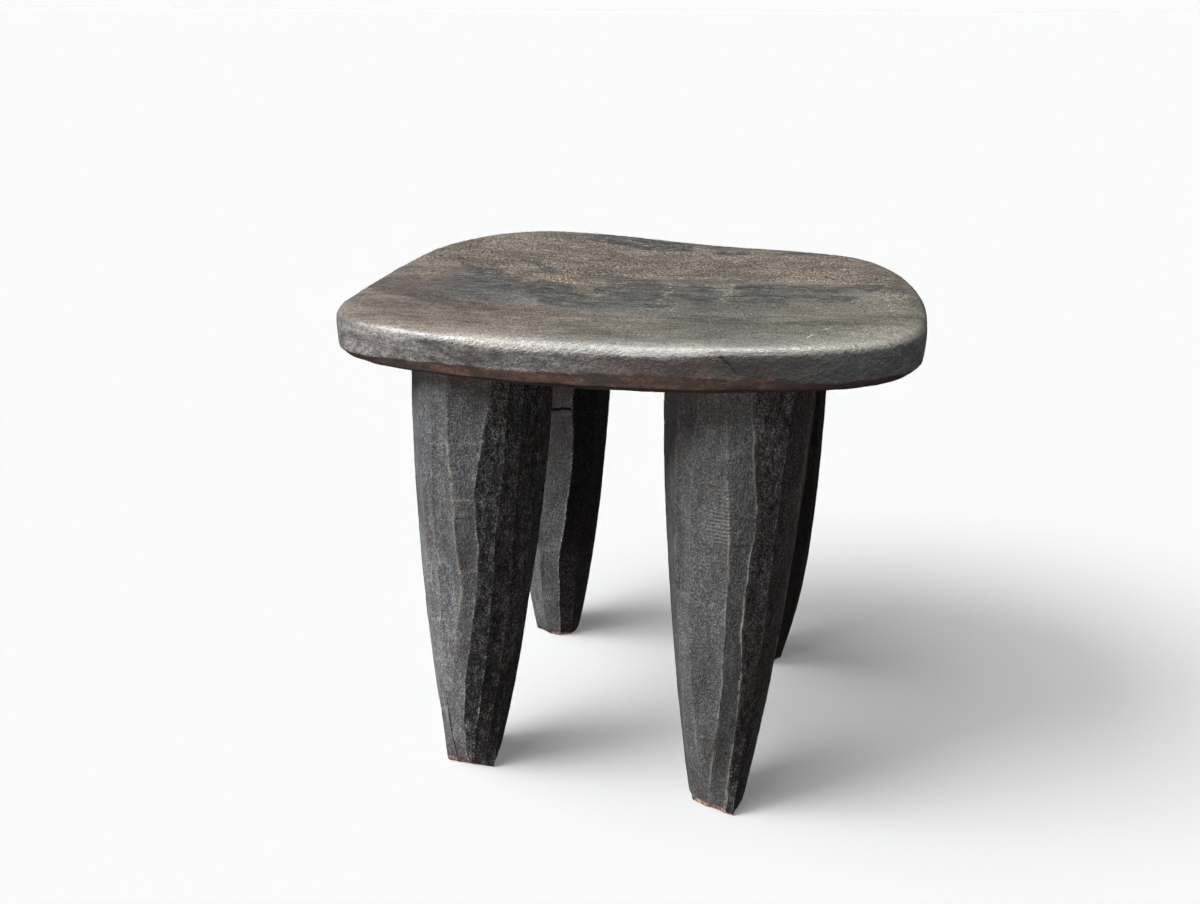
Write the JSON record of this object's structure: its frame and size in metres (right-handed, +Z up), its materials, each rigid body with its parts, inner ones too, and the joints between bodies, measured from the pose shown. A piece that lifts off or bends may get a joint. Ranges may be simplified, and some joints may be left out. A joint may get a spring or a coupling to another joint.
{
  "type": "carved wooden stool",
  "caption": "Low carved wooden stool with a dished, rounded seat on stout, adze-cut legs that taper to small feet.",
  "frame": {"origin": "on the floor under the middle of the seat", "axes": "+X towards the seat's right end, seen from the front; +Y towards its back edge; +Z up"},
  "size_m": [0.358, 0.302, 0.3091],
  "materials": {
    "seat_wood": "worn smooth, satin",
    "leg_wood": "smoke-darkened, matte, adze-cut"
  },
  "bodies": {
    "root": {"seat": "seat_wood", "leg_front_left": "leg_wood", "leg_front_right": "leg_wood", "leg_back_left": "leg_wood", "leg_back_right": "leg_wood"}
  },
  "joints": []
}
